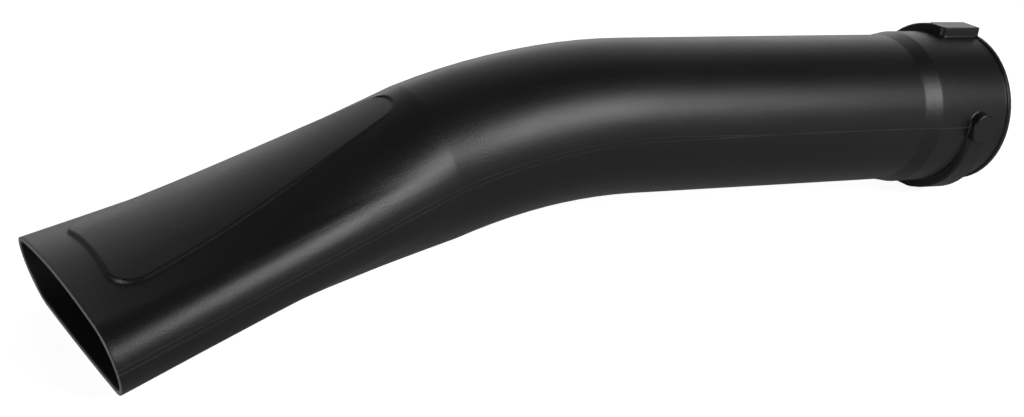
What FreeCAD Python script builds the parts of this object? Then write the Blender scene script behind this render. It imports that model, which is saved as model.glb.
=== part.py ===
import FreeCAD, Part
import math
import os

import Sketcher
from FreeCAD import Placement, Rotation, Vector

# Blower nozzle tube: one blow-moulded piece with a bayonet socket at one end, a straight run,
# a bend and a round-to-flat outlet. It is worked out as two closed forms, the outer skin and the
# core of air inside it, which differ by the wall, and the tube is the skin less the core.
# Working frame: X along the straight run towards the socket, Z up, origin where the bend starts.

DIMENSIONS = {
    "wall": 2.0,
    "tube_radius": 37.5,
    "straight_length": 163.0,
    "straight_end_radius": 38.25,
    "step_length": 10.2,
    "socket_radius": 40.0,
    "socket_length": 49.6,
    "rim_height": 0.6,
    "rim_width": 2.4,
    "seat_length": 19.3,
    "lead_in": 0.3,
    "bend_radius": 317.0,
    "bend_angle": 20.0,
    "flat_length": 170.5,
    "crease_side_angle": 23.6,
    "mouth_half_width": 62.0,
    "mouth_rise": 21.5,
    "mouth_drop": 18.2,
    "mouth_end_radius": 17.2,
    "mouth_cut_angle": 1.0,
    "channel_width": 14.0,
    "channel_from_rim": 12.8,
    "channel_height": 4.6,
    "channel_end_height": 1.8,
    "channel_bevel": 0.8,
    "channel_turn": 90.0,
    "channel_lean": 2.0,
    "entry_width": 12.6,
    "entry_corner": 3.4,
    "entry_mouth_corner": 0.8,
    "boss_width": 13.6,
    "boss_from_rim": 22.2,
    "boss_height": 4.5,
    "boss_rise": 1.0,
    "boss_drop": 7.0,
    "boss_corner": 3.2,
    "pad_from_mouth": 17.2,
    "pad_from_crease": 9.3,
    "pad_wide_half": 31.7,
    "pad_narrow_half": 10.8,
    "pad_wide_corner": 8.0,
    "pad_narrow_corner": 9.0,
    "pad_outline_sink": 0.9,
    "pad_outline_rise": 2.1,
    "pad_crease_sink": 0.45,
    "pad_middle_sink": 0.85,
    "pad_mouth_rise": 2.6,
    "pad_crease_crown": 140.0,
    "pad_middle_crown": 110.0,
    "pad_mouth_crown": 230.0,
    "pad_draft": 39.0,
}

# Places that follow from the sizes, in the working frame.
DERIVED = {
    "socket_start": "straight_length + step_length",
    "rim_x": "straight_length + step_length + socket_length",
    "turn": "bend_angle * 1 deg",
    "crease_x": "-bend_radius * sin(bend_angle * 1 deg)",
    "crease_z": "-bend_radius * (1 - cos(bend_angle * 1 deg))",
    "mouth_x": "crease_x - flat_length * cos(bend_angle * 1 deg)",
    "mouth_z": "crease_z - flat_length * sin(bend_angle * 1 deg)",
    "mouth_reach": "mouth_half_width - mouth_end_radius",
    "mouth_crown": "mouth_rise - mouth_end_radius",
    "mouth_sag": "mouth_drop - mouth_end_radius",
    "mouth_up_angle": "90 deg - 2 * atan(mouth_crown / mouth_reach)",
    "mouth_down_angle": "90 deg - 2 * atan(mouth_sag / mouth_reach)",
    "mouth_top_radius": "mouth_rise + (mouth_reach ^ 2 - mouth_crown ^ 2) / (2 * mouth_crown)",
    "mouth_low_radius": "mouth_drop + (mouth_reach ^ 2 - mouth_sag ^ 2) / (2 * mouth_sag)",
    "crease_side": "crease_side_angle * 1 deg",
    "channel_top": "socket_radius + channel_height",
    "channel_middle": "rim_x - channel_from_rim - channel_width / 2",
    "channel_foot": "socket_radius / 2",
    "channel_shift": "channel_height - channel_end_height",
    "seat_end": "socket_start + seat_length",
    "entry_start": "channel_middle - channel_width / 2",
    "boss_middle": "rim_x - boss_from_rim",
    "flat_middle_x": "(crease_x + mouth_x) / 2",
    "flat_middle_z": "(crease_z + mouth_z) / 2",
    "pad_outline_top": "tube_radius - pad_outline_sink",
    "pad_outline_end": "mouth_rise + pad_outline_rise",
    "pad_crease_top": "tube_radius - pad_crease_sink",
    "pad_middle_top": "(tube_radius + mouth_rise) / 2 - pad_middle_sink",
    "pad_mouth_top": "mouth_rise + pad_mouth_rise",
    "pad_wall_reach": "tube_radius / 4",
}

FULL_TURN = 360
BAYONET_COUNT = 2
# Strips along the flat part that each round side and each broad face is drawn in.
SIDE_STRIPS = 8
BROAD_STRIPS = 6
# Any positive angle fixes the sense of a turned sketch's axis: its expression then sets the angle.
FIRST_ANGLE = 10

doc = FreeCAD.newDocument("nozzle_tube")
sheet = doc.addObject("Spreadsheet::Sheet", "Dims")


def fill_sheet():
    row = 0
    for name, size in DIMENSIONS.items():
        row += 1
        sheet.set("A%d" % row, name)
        sheet.set("B%d" % row, str(size))
        sheet.setAlias("B%d" % row, name)
    for name, formula in DERIVED.items():
        row += 1
        sheet.set("A%d" % row, name)
        sheet.set("B%d" % row, "=" + formula)
        sheet.setAlias("B%d" % row, name)
    doc.recompute()


def value(owner, expression):
    """Number that an expression on the sheet has now, to start the sketch near its solution."""
    result = owner.evalExpression(expression)
    return float(getattr(result, "Value", result))


def sketch_on(body, name, role, origin=("0", "0", "0"), axis=None, angle="0 deg"):
    """Sketch on one of the body's own origin planes, moved and turned in that plane's axes."""
    sketch = body.newObject("Sketcher::SketchObject", name)
    plane = next(f for f in body.Origin.OriginFeatures if f.Role == role)
    sketch.AttachmentSupport = [(plane, "")]
    sketch.MapMode = "FlatFace"
    if axis is not None:
        sketch.AttachmentOffset = Placement(Vector(), Rotation(axis, FIRST_ANGLE))
        sketch.setExpression("AttachmentOffset.Rotation.Angle", angle)
    for letter, place in zip("xyz", origin):
        sketch.setExpression("AttachmentOffset.Base." + letter, place)
    return sketch


def bind(sketch, constraint, expression):
    index = sketch.addConstraint(constraint)
    sketch.setExpression("Constraints[%d]" % index, expression)


def bind_across(sketch, geometry, point, x):
    bind(sketch, Sketcher.Constraint("DistanceX", -1, 1, geometry, point, value(sketch, x)), x)


def bind_height(sketch, geometry, point, y):
    bind(sketch, Sketcher.Constraint("DistanceY", -1, 1, geometry, point, value(sketch, y)), y)


def fix_point(sketch, geometry, point, x, y):
    """Hold a sketch point at two expressions, measured from the sketch's origin."""
    bind_across(sketch, geometry, point, x)
    bind_height(sketch, geometry, point, y)


def add_arc(sketch, centre, radius, start, end):
    circle = Part.Circle(Vector(centre[0], centre[1], 0), Vector(0, 0, 1), radius)
    return sketch.addGeometry(Part.ArcOfCircle(circle, start, end), False)


def add_line(sketch, start, end):
    return sketch.addGeometry(Part.LineSegment(Vector(*start, 0), Vector(*end, 0)), False)


def full_circle(sketch, x, y, radius):
    centre = Vector(value(sketch, x), value(sketch, y), 0)
    size = value(sketch, radius)
    circle = sketch.addGeometry(Part.Circle(centre, Vector(0, 0, 1), size), False)
    fix_point(sketch, circle, 3, x, y)
    bind(sketch, Sketcher.Constraint("Radius", circle, size), radius)


def polygon(sketch, corners):
    """Closed outline of straight lines through corners given as pairs of expressions."""
    points = [(value(sketch, x), value(sketch, y)) for x, y in corners]
    count = len(points)
    lines = [add_line(sketch, points[i], points[(i + 1) % count]) for i in range(count)]
    for i, line in enumerate(lines):
        sketch.addConstraint(Sketcher.Constraint("Coincident", line, 2, lines[(i + 1) % count], 1))
        fix_point(sketch, line, 1, *corners[i])


def rounded_outline(sketch, circles):
    """Outline drawn tightly round circles (x, y, radius as expressions), listed anticlockwise."""
    sizes = [tuple(value(sketch, e) for e in circle) for circle in circles]
    count = len(sizes)
    normals = []
    for i in range(count):
        x0, y0, r0 = sizes[i]
        x1, y1, r1 = sizes[(i + 1) % count]
        heading = math.atan2(y1 - y0, x1 - x0)
        lean = math.acos((r0 - r1) / math.hypot(x1 - x0, y1 - y0))
        normals.append(heading - lean)
    arcs = []
    for i, (x, y, r) in enumerate(sizes):
        start = normals[i - 1]
        sweep = (normals[i] - start) % (2 * math.pi)
        arcs.append(add_arc(sketch, (x, y), r, start, start + sweep))
    for i in range(count):
        ends = []
        for j in (i, (i + 1) % count):
            x, y, r = sizes[j]
            ends.append((x + r * math.cos(normals[i]), y + r * math.sin(normals[i])))
        line = add_line(sketch, *ends)
        sketch.addConstraint(Sketcher.Constraint("Tangent", arcs[i], 2, line, 1))
        sketch.addConstraint(Sketcher.Constraint("Tangent", line, 2, arcs[(i + 1) % count], 1))
    for arc, (x, y, r) in zip(arcs, circles):
        fix_point(sketch, arc, 3, x, y)
        bind(sketch, Sketcher.Constraint("Radius", arc, value(sketch, r)), r)


def rounded_box(sketch, left, right, low, high, left_radius, right_radius):
    """Rectangle with rounded corners, its sides and radii given as expressions."""
    circles = []
    for x, y, radius in (("left", "low", left_radius), ("right", "low", right_radius),
                         ("right", "high", right_radius), ("left", "high", left_radius)):
        across = "%s + %s" % (left, radius) if x == "left" else "%s - (%s)" % (right, radius)
        along = "%s + %s" % (low, radius) if y == "low" else "%s - (%s)" % (high, radius)
        circles.append((across, along, radius))
    rounded_outline(sketch, circles)


def strip_arcs(sketch, centre, radius, start, sweep, count):
    step = sweep / count
    return [add_arc(sketch, centre, radius, start + k * step, start + (k + 1) * step) for k in range(count)]


def oval_section(sketch, reach, end_radius, up, down, top_radius, top_centre, low_radius, low_centre):
    """Ring of arcs, drawn in strips. The two round ends have their centres at reach each side and run
    from the angle down below the horizontal to the angle up above it. The broad top and bottom join
    them about centres on the upright axis."""
    names = (reach, end_radius, up, down, top_radius, top_centre, low_radius, low_centre)
    out, small, high, low, top_size, top_y, low_size, low_y = (value(sketch, name) for name in names)
    high, low = math.radians(high), math.radians(low)
    right = strip_arcs(sketch, (out, 0), small, -low, low + high, SIDE_STRIPS)
    top = strip_arcs(sketch, (0, top_y), top_size, high, math.pi - 2 * high, BROAD_STRIPS)
    left = strip_arcs(sketch, (-out, 0), small, math.pi - high, high + low, SIDE_STRIPS)
    bottom = strip_arcs(sketch, (0, low_y), low_size, math.pi + low, math.pi - 2 * low, BROAD_STRIPS)

    heights = []
    for k in range(SIDE_STRIPS + 1):
        turn = "(%s + %s) * %d / %d - %s" % (up, down, k, SIDE_STRIPS, down)
        heights.append("(%s) * sin(%s)" % (end_radius, turn))
    for strips, across, places in ((right, reach, heights), (left, "-(%s)" % reach, heights[::-1])):
        bind(sketch, Sketcher.Constraint("Radius", strips[0], small), end_radius)
        bind_height(sketch, strips[0], 1, places[0])
        for strip, place in zip(strips, places[1:]):
            fix_point(sketch, strip, 3, across, "0 mm")
            bind_height(sketch, strip, 2, place)
    for strips, radius, centre, edge, sign in ((top, top_radius, top_centre, up, ""),
                                               (bottom, low_radius, low_centre, down, "-")):
        for k, strip in enumerate(strips[:-1]):
            turn = "%s + (180 deg - 2 * %s) * %d / %d" % (edge, edge, k + 1, BROAD_STRIPS)
            fix_point(sketch, strip, 3, "0 mm", centre)
            bind_across(sketch, strip, 2, "%s(%s) * cos(%s)" % (sign, radius, turn))
        sketch.addConstraint(Sketcher.Constraint("PointOnObject", strips[-1], 3, -2))
    ring = right + top + left + bottom
    for first, second in zip(ring, ring[1:] + ring[:1]):
        sketch.addConstraint(Sketcher.Constraint("Coincident", first, 2, second, 1))


def crowned_section(sketch, half_width, top, crown):
    """Block with a gently crowned top, standing on the sketch's horizontal axis."""
    width, height, radius = (value(sketch, e) for e in (half_width, top, crown))
    centre = height - radius
    tilt = math.acos(width / radius)
    shoulder = centre + radius * math.sin(tilt)
    base = add_line(sketch, (-width, 0), (width, 0))
    right = add_line(sketch, (width, 0), (width, shoulder))
    arc = add_arc(sketch, (0, centre), radius, tilt, math.pi - tilt)
    left = add_line(sketch, (-width, shoulder), (-width, 0))
    for first, second in ((base, right), (right, arc), (arc, left), (left, base)):
        sketch.addConstraint(Sketcher.Constraint("Coincident", first, 2, second, 1))
    for point, place in ((1, "-(%s)" % half_width), (2, half_width)):
        sketch.addConstraint(Sketcher.Constraint("PointOnObject", base, point, -1))
        start = value(sketch, place)
        bind(sketch, Sketcher.Constraint("DistanceX", -1, 1, base, point, start), place)
    for line in (right, left):
        sketch.addConstraint(Sketcher.Constraint("Vertical", line))
    sketch.addConstraint(Sketcher.Constraint("PointOnObject", arc, 3, -2))
    place = "%s - (%s)" % (top, crown)
    bind(sketch, Sketcher.Constraint("DistanceY", -1, 1, arc, 3, centre), place)
    bind(sketch, Sketcher.Constraint("Radius", arc, radius), crown)


def add_feature(body, kind, name, sketch, **settings):
    feature = body.newObject("PartDesign::" + kind, name)
    feature.Profile = sketch
    for key, setting in settings.items():
        setattr(feature, key, setting)
    return feature


def crease_sketch(body, name):
    return sketch_on(body, name, "YZ_Plane", ("0", "Dims.crease_z", "Dims.crease_x"),
                     Vector(1, 0, 0), "-Dims.turn")


def mouth_sketch(body, name):
    return sketch_on(body, name, "YZ_Plane", ("0", "Dims.mouth_z", "Dims.mouth_x"),
                     Vector(1, 0, 0), "-Dims.turn - Dims.mouth_cut_angle * 1 deg")


def add_duct(body, name, inset, past, lead):
    """Socket, straight run, bend and flat outlet of one form, inside the skin by inset. The core
    runs past both mouths and widens by a lead-in from the plain seat to the socket's mouth."""
    axis = next(f for f in body.Origin.OriginFeatures if f.Role == "X_Axis")
    run = sketch_on(body, name + "_run_outline", "XZ_Plane")
    tube = "Dims.tube_radius" + inset
    socket = "Dims.socket_radius" + inset
    end = "Dims.rim_x" + past
    polygon(run, [("0 mm", "0 mm"), (end, "0 mm"), (end, socket + lead), ("Dims.seat_end", socket),
                  ("Dims.socket_start", socket),
                  ("Dims.straight_length", "Dims.straight_end_radius" + inset), ("0 mm", tube)])
    add_feature(body, "Revolution", name + "_run", run, ReferenceAxis=(axis, [""]), Angle=FULL_TURN)

    ring = sketch_on(body, name + "_bend_ring", "YZ_Plane")
    full_circle(ring, "0 mm", "0 mm", tube)
    depth = -value(ring, "Dims.bend_radius")
    length = value(ring, "Dims.tube_radius")
    pivot = ring.addGeometry(Part.LineSegment(Vector(0, depth, 0), Vector(length, depth, 0)), True)
    fix_point(ring, pivot, 1, "0 mm", "-Dims.bend_radius")
    fix_point(ring, pivot, 2, "Dims.tube_radius", "-Dims.bend_radius")
    bend = add_feature(body, "Revolution", name + "_bend", ring, Reversed=True)
    bend.ReferenceAxis = (ring, ["Axis0"])
    bend.setExpression("Angle", "Dims.turn")

    crease = crease_sketch(body, name + "_crease")
    oval_section(crease, "0 mm", tube, "Dims.crease_side", "Dims.crease_side",
                 tube, "0 mm", tube, "0 mm")
    mouth = mouth_sketch(body, name + "_mouth")
    oval_section(mouth, "Dims.mouth_reach", "Dims.mouth_end_radius" + inset,
                 "Dims.mouth_up_angle", "Dims.mouth_down_angle",
                 "Dims.mouth_top_radius" + inset, "Dims.mouth_rise - Dims.mouth_top_radius",
                 "Dims.mouth_low_radius" + inset, "Dims.mouth_low_radius - Dims.mouth_drop")
    add_feature(body, "AdditiveLoft", name + "_flat", crease, Sections=[mouth], Ruled=True)
    if past:
        trim = add_feature(body, "Pad", name + "_mouth_trim", mouth, Reversed=True)
        trim.setExpression("Length", "Dims.wall")


def add_bayonet(body, name, inset, narrow, past):
    """Entry slot, turning channel and locking boss, and the same again half a turn round. The channel
    turns about an axis moved towards its entry and leaning a little, so that it grows shallow and draws
    the socket on as it runs to the boss."""
    axis = next(f for f in body.Origin.OriginFeatures if f.Role == "X_Axis")
    top = "Dims.channel_top" + inset
    buried = "Dims.channel_foot"

    channel_outline = sketch_on(body, name + "_channel_outline", "XZ_Plane",
                                ("Dims.channel_middle", "Dims.channel_shift", "0"),
                                Vector(0, 1, 0), "Dims.channel_lean * 1 deg")
    right = "(Dims.channel_width / 2%s)" % narrow
    left = "-" + right
    height = top + " - Dims.channel_shift"
    bevel = " - Dims.channel_bevel"
    polygon(channel_outline, [(left, buried), (right, buried), (right, height + bevel), (right + bevel, height),
                              ("-(%s)" % (right + bevel), height), (left, height + bevel)])
    channel = add_feature(body, "Revolution", name + "_channel", channel_outline,
                          ReferenceAxis=(channel_outline, ["H_Axis"]), Reversed=True)
    channel.setExpression("Angle", "Dims.channel_turn * 1 deg")

    entry_outline = sketch_on(body, name + "_entry_outline", "XY_Plane", ("0", "0", buried))
    half = "(Dims.entry_width / 2%s)" % narrow
    inner_end = "Dims.entry_start - (0%s)" % narrow
    rounded_box(entry_outline, inner_end, "Dims.rim_x" + past, "-" + half, half,
                "Dims.entry_corner" + narrow, "Dims.entry_mouth_corner")
    entry = add_feature(body, "Pad", name + "_entry", entry_outline)
    entry.setExpression("Length", "%s - %s" % (top, buried))

    boss_outline = sketch_on(body, name + "_boss_outline", "XY_Plane", axis=Vector(1, 0, 0),
                             angle="-Dims.channel_turn * 1 deg")
    crown = "Dims.boss_width / 2%s" % narrow
    foot = "Dims.boss_corner%s" % narrow
    spread = "(Dims.boss_width / 2 - Dims.boss_corner)"
    low = "-Dims.boss_drop + Dims.boss_corner"
    rounded_outline(boss_outline, [("Dims.boss_middle - " + spread, low, foot),
                                   ("Dims.boss_middle + " + spread, low, foot),
                                   ("Dims.boss_middle", "Dims.boss_rise", crown)])
    boss = add_feature(body, "Pad", name + "_boss", boss_outline)
    boss.setExpression("Length", "Dims.socket_radius + Dims.boss_height" + inset)

    doc.recompute()
    pair = body.newObject("PartDesign::PolarPattern", name + "_pair")
    pair.Originals = [channel, entry, boss]
    pair.Axis = (axis, [""])
    pair.Angle = FULL_TURN
    pair.Occurrences = BAYONET_COUNT
    body.Tip = pair


def add_rim(body, name):
    """Narrow lip on the outside of the socket's mouth."""
    axis = next(f for f in body.Origin.OriginFeatures if f.Role == "X_Axis")
    outline = sketch_on(body, name + "_rim_outline", "XZ_Plane")
    left, top = "Dims.rim_x - Dims.rim_width", "Dims.socket_radius + Dims.rim_height"
    polygon(outline, [(left, "Dims.channel_foot"), ("Dims.rim_x", "Dims.channel_foot"),
                      ("Dims.rim_x", top), (left, top)])
    add_feature(body, "Revolution", name + "_rim", outline, ReferenceAxis=(axis, [""]), Angle=FULL_TURN)


def pad_outline_body(name, narrow):
    """Rounded trapezoid seen on top of the flat part, with drafted walls above and below. The core's is
    smaller all round, by as much as gives the drafted walls their thickness."""
    body = doc.addObject("PartDesign::Body", name + "_pad_walls")
    lean = "atan((Dims.pad_outline_top - Dims.pad_outline_end) / Dims.flat_length)"
    sketch = sketch_on(body, name + "_pad_outline", "XY_Plane",
                       ("Dims.crease_x - Dims.pad_outline_top * sin(Dims.turn)", "0",
                        "Dims.crease_z + Dims.pad_outline_top * cos(Dims.turn)"),
                       Vector(0, 1, 0), "-Dims.turn - " + lean)
    if narrow:
        narrow += " / cos(Dims.pad_draft * 1 deg)"
    wide_x = "-Dims.flat_length + Dims.pad_from_mouth + Dims.pad_wide_corner"
    wide_y = "(Dims.pad_wide_half - Dims.pad_wide_corner)"
    slim_x = "-Dims.pad_from_crease - Dims.pad_narrow_corner"
    slim_y = "(Dims.pad_narrow_half - Dims.pad_narrow_corner)"
    wide, slim = "Dims.pad_wide_corner" + narrow, "Dims.pad_narrow_corner" + narrow
    rounded_outline(sketch, [(wide_x, "-" + wide_y, wide), (slim_x, "-" + slim_y, slim),
                             (slim_x, slim_y, slim), (wide_x, wide_y, wide)])
    walls = add_feature(body, "Pad", name + "_pad_wall", sketch, SideType="Two sides")
    walls.setExpression("Length", "Dims.pad_wall_reach")
    walls.setExpression("Length2", "Dims.pad_wall_reach")
    walls.setExpression("TaperAngle", "Dims.pad_draft * 1 deg")
    walls.setExpression("TaperAngle2", "Dims.pad_draft * 1 deg")
    return body


def pad_level_body(name, inset):
    """Everything below the pad's gently crowned surface, along the whole flat part."""
    body = doc.addObject("PartDesign::Body", name + "_pad_level")
    half = "Dims.pad_wide_half + Dims.pad_wide_corner"
    crease = crease_sketch(body, name + "_pad_crease")
    crowned_section(crease, half, "Dims.pad_crease_top" + inset, "Dims.pad_crease_crown" + inset)
    middle = sketch_on(body, name + "_pad_middle", "YZ_Plane",
                       ("0", "Dims.flat_middle_z", "Dims.flat_middle_x"), Vector(1, 0, 0), "-Dims.turn")
    crowned_section(middle, half, "Dims.pad_middle_top" + inset, "Dims.pad_middle_crown" + inset)
    mouth = mouth_sketch(body, name + "_pad_mouth")
    crowned_section(mouth, half, "Dims.pad_mouth_top" + inset, "Dims.pad_mouth_crown" + inset)
    add_feature(body, "AdditiveLoft", name + "_pad_surface", crease, Sections=[middle, mouth])
    return body


def combine(kind, name, base, tool):
    result = doc.addObject("Part::" + kind, name)
    result.Base = base
    result.Tool = tool
    return result


def make_form(name, inset="", narrow="", past="", lead=""):
    """One closed form: the duct with its bayonet, and the pad raised or sunk into its top."""
    body = doc.addObject("PartDesign::Body", name + "_duct")
    add_duct(body, name, inset, past, lead)
    if not past:
        add_rim(body, name)
    add_bayonet(body, name, inset, narrow, past)
    walls = pad_outline_body(name, narrow)
    level = pad_level_body(name, inset)
    above = combine("Cut", name + "_above_pad", walls, level)
    below = combine("Common", name + "_below_pad", walls, level)
    sunk = combine("Cut", name + "_sunk", body, above)
    return combine("Fuse", name + "_form", sunk, below)


def lay_to_rest(tube):
    """Tilt the tube on to its two resting edges, the mouth's lower lip and the lower entry slot."""
    turn = math.radians(sheet.bend_angle)
    lip_x = sheet.mouth_x + sheet.mouth_drop * math.sin(turn)
    lip_z = sheet.mouth_z - sheet.mouth_drop * math.cos(turn)
    tilt = math.degrees(math.atan2(-sheet.channel_top - lip_z, sheet.rim_x - lip_x))
    tube.Placement = Placement(Vector(), Rotation(Vector(0, 1, 0), tilt))
    box = tube.Shape.optimalBoundingBox(False, False)
    tube.Placement.Base = Vector(-(box.XMin + box.XMax) / 2, 0, -box.ZMin)


def check(tube):
    for item in doc.Objects:
        if "Invalid" in item.State or "Error" in item.State:
            raise RuntimeError("%s failed: %s" % (item.Name, item.State))
    if tube.Shape.isNull() or not tube.Shape.isValid() or len(tube.Shape.Solids) != 1:
        raise RuntimeError("the tube is not one valid solid")


fill_sheet()
skin = make_form("skin")
core = make_form("core", " - Dims.wall", " - Dims.wall", " + Dims.wall", " + Dims.lead_in")
nozzle_tube = combine("Cut", "nozzle_tube", skin, core)
nozzle_tube.Label = "nozzle_tube"
doc.recompute()
check(nozzle_tube)
lay_to_rest(nozzle_tube)
doc.recompute()
check(nozzle_tube)
os.makedirs("parts", exist_ok=True)
nozzle_tube.Shape.exportStep("parts/%s.step" % nozzle_tube.Label)
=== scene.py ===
import math

import bmesh
import bpy
import numpy as np
from mathutils import Matrix, Vector


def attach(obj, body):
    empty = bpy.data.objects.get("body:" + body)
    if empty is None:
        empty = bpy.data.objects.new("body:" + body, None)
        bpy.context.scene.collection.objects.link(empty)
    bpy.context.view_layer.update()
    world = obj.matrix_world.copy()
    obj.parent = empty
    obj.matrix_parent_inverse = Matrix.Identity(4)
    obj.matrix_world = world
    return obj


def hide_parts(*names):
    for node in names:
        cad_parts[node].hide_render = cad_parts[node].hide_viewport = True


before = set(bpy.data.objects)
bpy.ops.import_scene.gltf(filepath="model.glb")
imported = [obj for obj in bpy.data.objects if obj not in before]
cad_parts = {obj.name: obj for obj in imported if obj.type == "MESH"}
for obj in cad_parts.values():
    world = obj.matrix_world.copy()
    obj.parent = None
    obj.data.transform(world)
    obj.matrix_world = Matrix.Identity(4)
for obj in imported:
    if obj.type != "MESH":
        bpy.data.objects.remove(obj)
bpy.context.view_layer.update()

# Image size and camera, from the photograph's perspective, in metres in the row frame.
IMAGE_SIZE = (1024, 417)
FOCAL_PIXELS = 1739.75
SENSOR_WIDTH_MM = 36.0
CAMERA_PLACE = Vector((-0.437273, -0.64992, 0.330374))
CAMERA_FORWARD = Vector((0.491018, 0.790314, -0.366476))
CAMERA_ROLL = math.radians(-2.734)
CAMERA_REACH = (0.01, 50)

# The tube's own frame: X along the straight run towards the socket, origin where the bend starts.
TUBE_FRAME = (Matrix.Translation((0.0272839, 0, 0.067174))
              @ Matrix.Rotation(math.radians(5.87574), 4, "Y"))
TUBE_RADIUS = 0.0375
RUN_END_RADIUS = 0.03825
RUN_LENGTH = 0.163
STEP_END = 0.1732
SOCKET_RADIUS = 0.040
RIM_LIP_X = 0.2204
RIM_X = 0.2228
BEND_RADIUS = 0.317
BEND_ANGLE = math.radians(20)
FLAT_LENGTH = 0.1705
CREASE = Vector((-BEND_RADIUS * math.sin(BEND_ANGLE), 0, -BEND_RADIUS * (1 - math.cos(BEND_ANGLE))))
FLAT_AXIS = Vector((-math.cos(BEND_ANGLE), 0, -math.sin(BEND_ANGLE)))
FLAT_UP = Vector((-math.sin(BEND_ANGLE), 0, math.cos(BEND_ANGLE)))
MOUTH = CREASE + FLAT_AXIS * FLAT_LENGTH
MOUTH_CUT = math.radians(1)
MOUTH_TURN = BEND_ANGLE + MOUTH_CUT
MOUTH_AXIS = Vector((-math.cos(MOUTH_TURN), 0, -math.sin(MOUTH_TURN)))

# Half outline of the flat outlet, as arcs (crease start and end angle, mouth centre across and up,
# mouth radius, mouth start and end angle): the round side, the broad top and the broad bottom.
MOUTH_HALF_WIDTH = 0.062
MOUTH_RISE = 0.0215
MOUTH_DROP = 0.0182
MOUTH_END_RADIUS = 0.0172
CREASE_SIDE = math.radians(23.6)
MOUTH_REACH = MOUTH_HALF_WIDTH - MOUTH_END_RADIUS


def broad_radius(height):
    """Radius of the broad arc that stands as high as height between the two round ends."""
    crown = height - MOUTH_END_RADIUS
    return height + (MOUTH_REACH ** 2 - crown ** 2) / (2 * crown)


def side_angle(height):
    """Angle at which a round end meets the broad arc."""
    return math.pi / 2 - 2 * math.atan((height - MOUTH_END_RADIUS) / MOUTH_REACH)


UP, DOWN = side_angle(MOUTH_RISE), side_angle(MOUTH_DROP)
TOP_RADIUS, LOW_RADIUS = broad_radius(MOUTH_RISE), broad_radius(MOUTH_DROP)
FLAT_ARCS = (
    (-CREASE_SIDE, CREASE_SIDE, MOUTH_REACH, 0, MOUTH_END_RADIUS, -DOWN, UP),
    (CREASE_SIDE, math.pi / 2, 0, MOUTH_RISE - TOP_RADIUS, TOP_RADIUS, UP, math.pi / 2),
    (-math.pi / 2, -CREASE_SIDE, 0, LOW_RADIUS - MOUTH_DROP, LOW_RADIUS, -math.pi / 2, -DOWN),
)

# Crowned top of the pad at the crease, half way and at the mouth: its height over the flat's axis, and
# the radius of its crown.
PAD_TOPS = (0.03705, 0.02865, 0.0241)
PAD_CROWNS = (0.140, 0.110, 0.230)

# Facet corners closer than this are one, edges sharper than this stay crisp, and a point this near
# to a ring or to the outlet's skin lies on it. A facet may lean this far from the skin it belongs to.
MERGE_DISTANCE = 2e-6
CRISP_ANGLE = math.radians(24)
RING_TOLERANCE = 5e-5
SKIN_TOLERANCE = 1.5e-4
SKIN_LEAN = math.cos(math.radians(14))

# The nearest point of an arc is looked for among this many, and then closed in on in a few steps.
ARC_SAMPLES = 90
ARC_STEPS = 3


def link(tree, source, socket, target, name):
    tree.links.new(source.outputs[socket], target.inputs[name])


def add_node(tree, kind, **settings):
    node = tree.nodes.new(kind)
    for key, setting in settings.items():
        setattr(node, key, setting)
    return node


def make_camera():
    camera = bpy.data.objects.new("camera", bpy.data.cameras.new("camera"))
    bpy.context.scene.collection.objects.link(camera)
    camera.data.sensor_width = SENSOR_WIDTH_MM
    camera.data.lens = FOCAL_PIXELS / IMAGE_SIZE[0] * SENSOR_WIDTH_MM
    camera.data.clip_start, camera.data.clip_end = CAMERA_REACH
    turn = CAMERA_FORWARD.to_track_quat("-Z", "Y").to_matrix()
    roll = Matrix.Rotation(CAMERA_ROLL, 3, CAMERA_FORWARD)
    camera.matrix_world = Matrix.Translation(CAMERA_PLACE) @ (roll @ turn).to_4x4()
    bpy.context.scene.camera = camera


def add_piece(name, shape, material):
    """Piece from a bmesh. The CAD's own corner normals go, so that the crisp edges set here hold."""
    mesh = bpy.data.meshes.new(name)
    shape.to_mesh(mesh)
    shape.free()
    if "custom_normal" in mesh.attributes:
        mesh.attributes.remove(mesh.attributes["custom_normal"])
    mesh.materials.clear()
    mesh.materials.append(material)
    piece = bpy.data.objects.new(name, mesh)
    bpy.context.scene.collection.objects.link(piece)
    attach(piece, "root")
    return piece


def on_ring(point):
    """True on the rings where the moulding changes form: both ends of the cone step and the crease."""
    place = TUBE_FRAME.inverted() @ point
    along = (place - CREASE).dot(FLAT_AXIS)
    return min(abs(place.x - RUN_LENGTH), abs(place.x - STEP_END), abs(along)) < RING_TOLERANCE


def arc_at(arc, share):
    """Points of an arc at the crease and at the mouth, and their tangents, as (across, up) arrays."""
    crease_start, crease_end, across, up, radius, mouth_start, mouth_end = arc
    turn = crease_start + (crease_end - crease_start) * share
    crease = TUBE_RADIUS * np.stack([np.cos(turn), np.sin(turn)], -1)
    crease_run = (crease_end - crease_start) * TUBE_RADIUS * np.stack([-np.sin(turn), np.cos(turn)], -1)
    turn = mouth_start + (mouth_end - mouth_start) * share
    mouth = np.array([across, up]) + radius * np.stack([np.cos(turn), np.sin(turn)], -1)
    mouth_run = (mouth_end - mouth_start) * radius * np.stack([-np.sin(turn), np.cos(turn)], -1)
    return crease, mouth, crease_run, mouth_run


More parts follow.
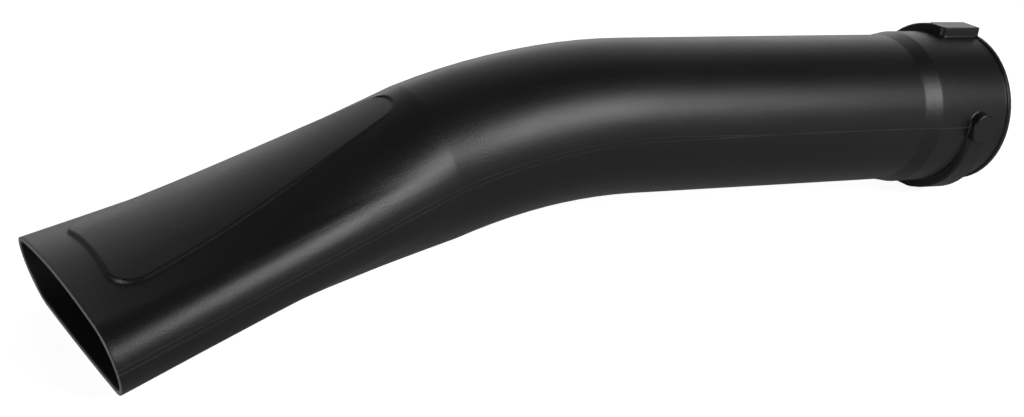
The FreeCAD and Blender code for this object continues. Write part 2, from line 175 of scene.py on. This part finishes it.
def flat_skin_normals(points):
    """For points in the tube's frame: how far each is from the flat outlet's skin, and its normal."""
    from_crease = points - np.array(CREASE)
    along = from_crease @ np.array(FLAT_AXIS) / FLAT_LENGTH
    place = np.stack([np.abs(points[:, 1]), from_crease @ np.array(FLAT_UP)], -1)
    best = np.full(len(points), np.inf)
    normals = np.zeros((len(points), 3))
    mix = along[:, None]
    for arc in FLAT_ARCS:
        shares = np.linspace(0, 1, ARC_SAMPLES)
        crease, mouth, _, _ = arc_at(arc, shares)
        rings = (1 - along)[:, None, None] * crease + along[:, None, None] * mouth
        share = shares[np.linalg.norm(rings - place[:, None], axis=2).argmin(1)]
        for _ in range(ARC_STEPS):
            crease, mouth, crease_run, mouth_run = arc_at(arc, share)
            run = (1 - mix) * crease_run + mix * mouth_run
            gap = place - ((1 - mix) * crease + mix * mouth)
            share = np.clip(share + (gap * run).sum(1) / (run * run).sum(1), 0, 1)
        crease, mouth, crease_run, mouth_run = arc_at(arc, share)
        run = (1 - mix) * crease_run + mix * mouth_run
        distance = np.linalg.norm(place - ((1 - mix) * crease + mix * mouth), axis=1)
        out = np.stack([run[:, 1], -run[:, 0]], -1) / np.linalg.norm(run, axis=1)[:, None]
        slope = ((mouth - crease) * out).sum(1) / FLAT_LENGTH
        normal = out[:, 1:] * np.array(FLAT_UP) - slope[:, None] * np.array(FLAT_AXIS)
        normal[:, 1] += out[:, 0] * np.sign(points[:, 1])
        nearer = distance < best
        best[nearer] = distance[nearer]
        normals[nearer] = normal[nearer]
    return best, normals / np.linalg.norm(normals, axis=1)[:, None]


def through_three(stations, share):
    """Value and slope of the parabola through three evenly spaced stations."""
    first, middle, last = stations
    bend = 2 * (first - 2 * middle + last)
    lead = last - first - bend
    return first + lead * share + bend * share ** 2, lead + 2 * bend * share


def pad_normals(points):
    """For points in the tube's frame: how far each is above or below the pad's top, and its normal."""
    from_crease = points - np.array(CREASE)
    share = from_crease @ np.array(FLAT_AXIS) / FLAT_LENGTH
    across = points[:, 1]
    top, fall = through_three(PAD_TOPS, share)
    crown, _ = through_three(PAD_CROWNS, share)
    level = np.sqrt(crown ** 2 - across ** 2)
    distance = np.abs(from_crease @ np.array(FLAT_UP) - (top - crown + level))
    normals = np.array(FLAT_UP) - (fall / FLAT_LENGTH)[:, None] * np.array(FLAT_AXIS)
    normals[:, 1] += across / level
    return distance, normals / np.linalg.norm(normals, axis=1)[:, None]


def shade_flat(mesh):
    """Give the flat outlet's skin and pad the normals of their true forms, so facets leave no streaks."""
    inverse = np.array(TUBE_FRAME.inverted())
    corners = np.array([vert.co for vert in mesh.vertices]) @ inverse[:3, :3].T + inverse[:3, 3]
    forms = []
    for distance, normal in (flat_skin_normals(corners), pad_normals(corners)):
        forms.append((distance, normal @ np.array(TUBE_FRAME)[:3, :3].T))
    normals = [corner.vector.copy() for corner in mesh.corner_normals]
    crease = TUBE_FRAME @ CREASE
    flat_axis = TUBE_FRAME.to_3x3() @ FLAT_AXIS
    for face in mesh.polygons:
        if (face.center - crease).dot(flat_axis) <= 0:
            continue
        ends = list(face.vertices)
        distance, form = min(forms, key=lambda item: item[0][ends].max())
        for loop, corner in zip(face.loop_indices, ends):
            normal = Vector(form[corner])
            if distance[corner] < SKIN_TOLERANCE and normal.dot(face.normal) > SKIN_LEAN:
                normals[loop] = normal
    mesh.normals_split_custom_set(normals)


def make_tube(material):
    """The moulding itself, from the CAD's facets, smooth but for its real edges and rings."""
    shape = bmesh.new()
    shape.from_mesh(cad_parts["nozzle_tube"].data)
    bmesh.ops.remove_doubles(shape, verts=shape.verts, dist=MERGE_DISTANCE)
    for face in shape.faces:
        face.smooth = True
        face.material_index = 0
    for edge in shape.edges:
        ring = all(on_ring(vert.co) for vert in edge.verts)
        edge.smooth = not ring and edge.calc_face_angle(0) < CRISP_ANGLE
    tube = add_piece("tube_moulding", shape, material)
    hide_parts("nozzle_tube")
    shade_flat(tube.data)


# Cross-section of one line of the parting seam, as (height over the skin, across). On the bend and the
# outlet it is a double line, which draws together on the run.
SEAM_SECTION = ((-0.0003, -0.0005), (0.00018, -0.00012), (0.00018, 0.00012), (-0.0003, 0.0005))
SEAM_SPREAD = 0.0011
SEAM_JOIN_X = 0.070
SEAM_BEND_STEPS = 28


def grow(shape, face, move):
    """Extrude a face, move its new copy and return that copy."""
    grown = bmesh.ops.extrude_face_region(shape, geom=[face])["geom"]
    verts = [item for item in grown if isinstance(item, bmesh.types.BMVert)]
    bmesh.ops.translate(shape, verts=verts, vec=move)
    return next(item for item in grown if isinstance(item, bmesh.types.BMFace))


def run_radius(x):
    """Outer radius of the run, which widens towards the socket."""
    return TUBE_RADIUS + (RUN_END_RADIUS - TUBE_RADIUS) * x / RUN_LENGTH


def add_seam_line(shape, side, stations):
    """One line of the seam: along (x, radius, offset) stations, round the bend and to the outlet."""
    x, radius, offset = stations[0]
    face = shape.faces.new([shape.verts.new((x, side * (radius + height), offset + across))
                            for height, across in SEAM_SECTION])
    for next_x, next_radius, next_offset in stations[1:]:
        face = grow(shape, face, (next_x - x, side * (next_radius - radius), next_offset - offset))
        x, radius, offset = next_x, next_radius, next_offset
    turned = bmesh.ops.spin(shape, geom=[face], cent=(0, 0, -BEND_RADIUS), axis=(0, -1, 0),
                            angle=BEND_ANGLE, steps=SEAM_BEND_STEPS)["geom_last"]
    face = next(item for item in turned if isinstance(item, bmesh.types.BMFace))
    grow(shape, face, FLAT_AXIS * FLAT_LENGTH + Vector((0, side * (MOUTH_HALF_WIDTH - TUBE_RADIUS), 0)))


def make_seam(name, side, material):
    """Parting seam down one side of the moulding, without the faces that extruding leaves inside it."""
    shape = bmesh.new()
    join = (SEAM_JOIN_X, run_radius(SEAM_JOIN_X), 0)
    socket = ((RIM_LIP_X, SOCKET_RADIUS, 0), (STEP_END, SOCKET_RADIUS, 0))
    run = ((RUN_LENGTH, RUN_END_RADIUS, 0), join)
    add_seam_line(shape, side, (*socket, *run, (0, TUBE_RADIUS, SEAM_SPREAD)))
    add_seam_line(shape, side, (join, (0, TUBE_RADIUS, -SEAM_SPREAD)))
    inside = [face for face in shape.faces if all(len(edge.link_faces) > 2 for edge in face.edges)]
    bmesh.ops.delete(shape, geom=inside, context="FACES_ONLY")
    bmesh.ops.recalc_face_normals(shape, faces=shape.faces)
    bmesh.ops.transform(shape, matrix=TUBE_FRAME, verts=shape.verts)
    add_piece(name, shape, material)


# Blasted mould grain, in features per metre and metres of height, and the roughness it gives: wide
# patches and a fine speckle on them.
GRAIN_SCALE = 1250
FINE_GRAIN_SCALE = 2900
GRAIN_HEIGHT = 5.5e-5
GRAIN_SPAN = (0.3, 0.7)
PATCH_SCALE = 24
PATCH_ROUGHNESS = (0.33, 0.38)
SPECKLE_ROUGHNESS = (-0.03, 0.03)

# Handling marks: two directions of scuffs as (turn, stretch), and the spans of noise that make a scuff
# and a patch of them.
SCUFF_LINES = (((0.2, 0.5, 0.3), (40, 1300, 1300)), ((0.1, -0.6, 0.9), (1200, 60, 1200)))
SCUFF_SPAN = (0.80, 0.84)
SCUFF_PATCH_SCALE = 38
SCUFF_PATCH_SPAN = (0.5, 0.6)
SCUFF_ROUGHER = 0.10

# Cut ends: the depth over which the cut's painted highlight grey comes in, and how much rougher a cut is.
TRIM_DEPTH = (-0.0006, -0.00015)
TRIM_ROUGHER = 0.15

# Soft clouds of colour, rounded edges and gloss of the plastic.
CLOUD_SCALE = 14
CLOUD_SPAN = (0.35, 0.65)
EDGE_ROUNDING = 0.0018
EDGE_SAMPLES = 8
PLASTIC_IOR = 1.5


def new_group(name, outputs):
    group = bpy.data.node_groups.new(name, "ShaderNodeTree")
    group.interface.new_socket("Vector", in_out="INPUT", socket_type="NodeSocketVector")
    for output in outputs:
        group.interface.new_socket(output, in_out="OUTPUT", socket_type="NodeSocketFloat")
    return group, add_node(group, "NodeGroupInput"), add_node(group, "NodeGroupOutput")


def add_noise(tree, source, socket, scale, detail):
    noise = add_node(tree, "ShaderNodeTexNoise")
    noise.inputs["Scale"].default_value = scale
    noise.inputs["Detail"].default_value = detail
    link(tree, source, socket, noise, "Vector")
    return noise


def add_range(tree, source, socket, low, high, to_low=0.0, to_high=1.0):
    scaled = add_node(tree, "ShaderNodeMapRange")
    for name, level in (("From Min", low), ("From Max", high), ("To Min", to_low), ("To Max", to_high)):
        scaled.inputs[name].default_value = level
    link(tree, source, socket, scaled, "Value")
    return scaled


def add_math(tree, operation, first, second):
    """Math node on two inputs, each a (node, socket) pair or a number."""
    result = add_node(tree, "ShaderNodeMath", operation=operation)
    for index, item in enumerate((first, second)):
        if isinstance(item, tuple):
            tree.links.new(item[0].outputs[item[1]], result.inputs[index])
        else:
            result.inputs[index].default_value = item
    return result


def blasted_grain():
    """Fine even grain that a blasted mould leaves: a height and a roughness."""
    group, start, end = new_group("blasted_grain", ("Height", "Roughness"))
    coarse = add_noise(group, start, "Vector", GRAIN_SCALE, detail=2)
    fine = add_noise(group, start, "Vector", FINE_GRAIN_SCALE, detail=1)
    height = add_math(group, "ADD", (coarse, "Fac"), (fine, "Fac"))
    patches = add_noise(group, start, "Vector", PATCH_SCALE, detail=3)
    wide = add_range(group, patches, "Fac", *GRAIN_SPAN, *PATCH_ROUGHNESS)
    speckle = add_range(group, coarse, "Fac", *GRAIN_SPAN, *SPECKLE_ROUGHNESS)
    roughness = add_math(group, "ADD", (wide, "Result"), (speckle, "Result"))
    link(group, height, "Value", end, "Height")
    link(group, roughness, "Value", end, "Roughness")
    return group


def handling_marks():
    """Short faint scuffs, in patches: 1 on a scuff and 0 elsewhere."""
    group, start, end = new_group("handling_marks", ("Mask",))
    masks = []
    for turn, stretch in SCUFF_LINES:
        turned = add_node(group, "ShaderNodeMapping")
        turned.inputs["Rotation"].default_value = turn
        turned.inputs["Scale"].default_value = stretch
        link(group, start, "Vector", turned, "Vector")
        lines = add_noise(group, turned, "Vector", 1, detail=0)
        masks.append(add_range(group, lines, "Fac", *SCUFF_SPAN))
    patches = add_noise(group, start, "Vector", SCUFF_PATCH_SCALE, detail=2)
    where = add_range(group, patches, "Fac", *SCUFF_PATCH_SPAN)
    both = add_math(group, "MAXIMUM", (masks[0], "Result"), (masks[1], "Result"))
    scuffs = add_math(group, "MULTIPLY", (both, "Value"), (where, "Result"))
    link(group, scuffs, "Value", end, "Mask")
    return group


def trimmed_edge():
    """1 on the two cut ends of the tube, the outlet's lip and the socket's rim, and 0 elsewhere."""
    group, start, end = new_group("trimmed_edge", ("Mask",))
    turn = TUBE_FRAME.to_3x3()
    masks = []
    for end_place, end_axis in ((MOUTH, MOUTH_AXIS), (Vector((RIM_X, 0, 0)), Vector((1, 0, 0)))):
        place, axis = TUBE_FRAME @ end_place, turn @ end_axis
        along = add_node(group, "ShaderNodeVectorMath", operation="DOT_PRODUCT")
        along.inputs[1].default_value = axis
        group.links.new(start.outputs["Vector"], along.inputs[0])
        depth = add_math(group, "SUBTRACT", (along, "Value"), place.dot(axis))
        masks.append(add_range(group, depth, "Value", *TRIM_DEPTH))
    both = add_math(group, "MAXIMUM", (masks[0], "Result"), (masks[1], "Result"))
    link(group, both, "Value", end, "Mask")
    return group


# Colours of the plastic: the moulding and the seam each cloud between two. The seam's lighter greys are a
# painted highlight, standing in for the light its thin ridges catch.
MOULDED_BLACKS = ((0.0100, 0.0104, 0.0110, 1), (0.0122, 0.0126, 0.0132, 1))
SEAM_HIGHLIGHT_GREYS = ((0.026, 0.027, 0.028, 1), (0.060, 0.061, 0.062, 1))
# Light grey of the cut ends: a painted highlight, the bright line a cut edge catches.
TRIM_HIGHLIGHT_GREY = (0.22, 0.22, 0.22, 1)
SCUFFED_GREY = (0.022, 0.022, 0.023, 1)


def add_mix(tree, share, socket, first, second):
    """Colour mix between two inputs, each the colour that an earlier mix puts out or a fixed colour."""
    mix = add_node(tree, "ShaderNodeMix", data_type="RGBA")
    link(tree, share, socket, mix, "Factor")
    for name, item in (("A", first), ("B", second)):
        target = next(s for s in mix.inputs if s.name == name and s.type == "RGBA")
        if isinstance(item, bpy.types.NodeSocket):
            tree.links.new(item, target)
        else:
            target.default_value = item
    return next(s for s in mix.outputs if s.type == "RGBA")


def place_effect(tree, place, group):
    """A shared effect in one material, on the piece's own coordinates."""
    effect = add_node(tree, "ShaderNodeGroup", node_tree=group)
    link(tree, place, "Object", effect, "Vector")
    return effect


def make_plastic(name, effects, colours, edges_rounded):
    """Satin plastic that clouds softly between two colours, with its edges rounded or as they are."""
    material = bpy.data.materials.new(name)
    material.use_nodes = True
    tree = material.node_tree
    shader = tree.nodes["Principled BSDF"]
    shader.inputs["IOR"].default_value = PLASTIC_IOR
    place = add_node(tree, "ShaderNodeTexCoord")
    grain, marks, trim = (place_effect(tree, place, group) for group in effects)
    clouds = add_noise(tree, place, "Object", CLOUD_SCALE, detail=3)
    cloudy = add_range(tree, clouds, "Fac", *CLOUD_SPAN)
    moulded = add_mix(tree, cloudy, "Result", *colours)
    scuffed = add_mix(tree, marks, "Mask", moulded, SCUFFED_GREY)
    # Painted highlight: the cut ends are turned light grey, standing in for the light their edges catch.
    with_trim_highlight = add_mix(tree, trim, "Mask", scuffed, TRIM_HIGHLIGHT_GREY)
    tree.links.new(with_trim_highlight, shader.inputs["Base Color"])
    rough_trim = add_math(tree, "MULTIPLY", (trim, "Mask"), TRIM_ROUGHER)
    rough_marks = add_math(tree, "MULTIPLY", (marks, "Mask"), SCUFF_ROUGHER)
    rough_both = add_math(tree, "ADD", (rough_trim, "Value"), (rough_marks, "Value"))
    rough = add_math(tree, "ADD", (grain, "Roughness"), (rough_both, "Value"))
    link(tree, rough, "Value", shader, "Roughness")
    bump = add_node(tree, "ShaderNodeBump")
    bump.inputs["Distance"].default_value = GRAIN_HEIGHT
    link(tree, grain, "Height", bump, "Height")
    if edges_rounded:
        rounding = add_node(tree, "ShaderNodeBevel", samples=EDGE_SAMPLES)
        rounding.inputs["Radius"].default_value = EDGE_ROUNDING
        link(tree, rounding, "Normal", bump, "Normal")
    link(tree, bump, "Normal", shader, "Normal")
    return material


# Lamps, as place, aim and size in metres and power in watts.
KEY_SOFTBOX = ((1.354, -2.344, 1.342), (0, 0, 0.05), (1.0, 1.1), 42)
MOUTH_FILL = ((-1.15, -0.25, 0.22), (-0.25, 0, 0.04), (0.5, 0.4), 3.5)


def make_light(name, place, aim, size, power):
    lamp = bpy.data.lights.new(name, "AREA")
    lamp.shape = "RECTANGLE"
    lamp.size, lamp.size_y = size
    lamp.energy = power
    light = bpy.data.objects.new(name, lamp)
    bpy.context.scene.collection.objects.link(light)
    light.location = place
    light.rotation_euler = (Vector(aim) - Vector(place)).to_track_quat("-Z", "Y").to_euler()


def set_ramp(node, stops):
    """Grey ramp through (position, level) stops."""
    elements = node.color_ramp.elements
    while len(elements) < len(stops):
        elements.new(0.5)
    for element, (position, level) in zip(elements, stops):
        element.position = position
        element.color = (level, level, level, 1)


# Brightness of the studio by the sine of the height above the floor, and by how far a direction, laid
# level, turns to the back right, where a tall white panel stands.
STUDIO_BY_HEIGHT = ((0.0, 1.6), (0.2, 1.4), (0.44, 0.84), (0.73, 0.50), (0.89, 0.22), (1.0, 0.04))
STUDIO_BY_SIDE = ((0.0, 0.07), (0.76, 0.04), (0.85, 0.22), (0.925, 0.52), (0.975, 1.0))
PANEL_SIDE = Vector((0.53, 0.85, 0))


def make_world():
    """White to the camera. To the object, a dark studio with a tall white panel behind it."""
    world = bpy.data.worlds.new("studio")
    bpy.context.scene.world = world
    world.use_nodes = True
    tree = world.node_tree
    tree.nodes.clear()
    place = add_node(tree, "ShaderNodeTexCoord")
    split = add_node(tree, "ShaderNodeSeparateXYZ")
    by_height = add_node(tree, "ShaderNodeValToRGB")
    set_ramp(by_height, STUDIO_BY_HEIGHT)
    level = add_node(tree, "ShaderNodeVectorMath", operation="MULTIPLY")
    level.inputs[1].default_value = (1, 1, 0)
    unit = add_node(tree, "ShaderNodeVectorMath", operation="NORMALIZE")
    turn = add_node(tree, "ShaderNodeVectorMath", operation="DOT_PRODUCT")
    turn.inputs[1].default_value = PANEL_SIDE.normalized()
    by_side = add_node(tree, "ShaderNodeValToRGB")
    set_ramp(by_side, STUDIO_BY_SIDE)
    studio = add_node(tree, "ShaderNodeBackground")
    white = add_node(tree, "ShaderNodeBackground")
    white.inputs["Color"].default_value = (1, 1, 1, 1)
    path = add_node(tree, "ShaderNodeLightPath")
    mix = add_node(tree, "ShaderNodeMixShader")
    out = add_node(tree, "ShaderNodeOutputWorld")
    link(tree, place, "Generated", split, "Vector")
    link(tree, split, "Z", by_height, "Fac")
    tree.links.new(place.outputs["Generated"], level.inputs[0])
    tree.links.new(level.outputs["Vector"], unit.inputs[0])
    tree.links.new(unit.outputs["Vector"], turn.inputs[0])
    share = add_range(tree, turn, "Value", -1, 1)
    link(tree, share, "Result", by_side, "Fac")
    product = add_math(tree, "MULTIPLY", (by_height, "Color"), (by_side, "Color"))
    link(tree, product, "Value", studio, "Strength")
    link(tree, path, "Is Camera Ray", mix, "Fac")
    tree.links.new(studio.outputs[0], mix.inputs[1])
    tree.links.new(white.outputs[0], mix.inputs[2])
    link(tree, mix, "Shader", out, "Surface")


# Floor: its size, its colour under the lamps, and the white that only the camera sees.
FLOOR_SIZE = 12
FLOOR_WHITE = (0.68, 0.68, 0.68, 1)
FLOOR_ROUGHNESS = 0.9
FLOOR_GLOW = 0.90


def make_floor():
    """Pale floor that catches the shadow, and that the camera sees as white."""
    bpy.ops.mesh.primitive_plane_add(size=FLOOR_SIZE)
    floor = bpy.context.object
    floor.name = "floor"
    material = bpy.data.materials.new("floor_white")
    material.use_nodes = True
    tree = material.node_tree
    shader = tree.nodes["Principled BSDF"]
    shader.inputs["Base Color"].default_value = FLOOR_WHITE
    shader.inputs["Roughness"].default_value = FLOOR_ROUGHNESS
    glow = add_node(tree, "ShaderNodeEmission")
    both = add_node(tree, "ShaderNodeAddShader")
    path = add_node(tree, "ShaderNodeLightPath")
    share = add_math(tree, "MULTIPLY", (path, "Is Camera Ray"), FLOOR_GLOW)
    link(tree, share, "Value", glow, "Strength")
    tree.links.new(shader.outputs[0], both.inputs[0])
    tree.links.new(glow.outputs[0], both.inputs[1])
    link(tree, both, "Shader", tree.nodes["Material Output"], "Surface")
    floor.data.materials.append(material)


make_camera()
make_world()
make_floor()
make_light("key_softbox", *KEY_SOFTBOX)
make_light("mouth_fill", *MOUTH_FILL)
effects = (blasted_grain(), handling_marks(), trimmed_edge())
make_tube(make_plastic("black_polyethylene", effects, MOULDED_BLACKS, edges_rounded=True))
# Seam material: its lighter grey is a painted highlight along the seam's ridges.
seam_plastic = make_plastic("black_polyethylene_seam_highlight", effects, SEAM_HIGHLIGHT_GREYS, edges_rounded=False)
make_seam("parting_seam_near", -1, seam_plastic)
make_seam("parting_seam_far", 1, seam_plastic)
bpy.context.scene.view_settings.view_transform = "Standard"
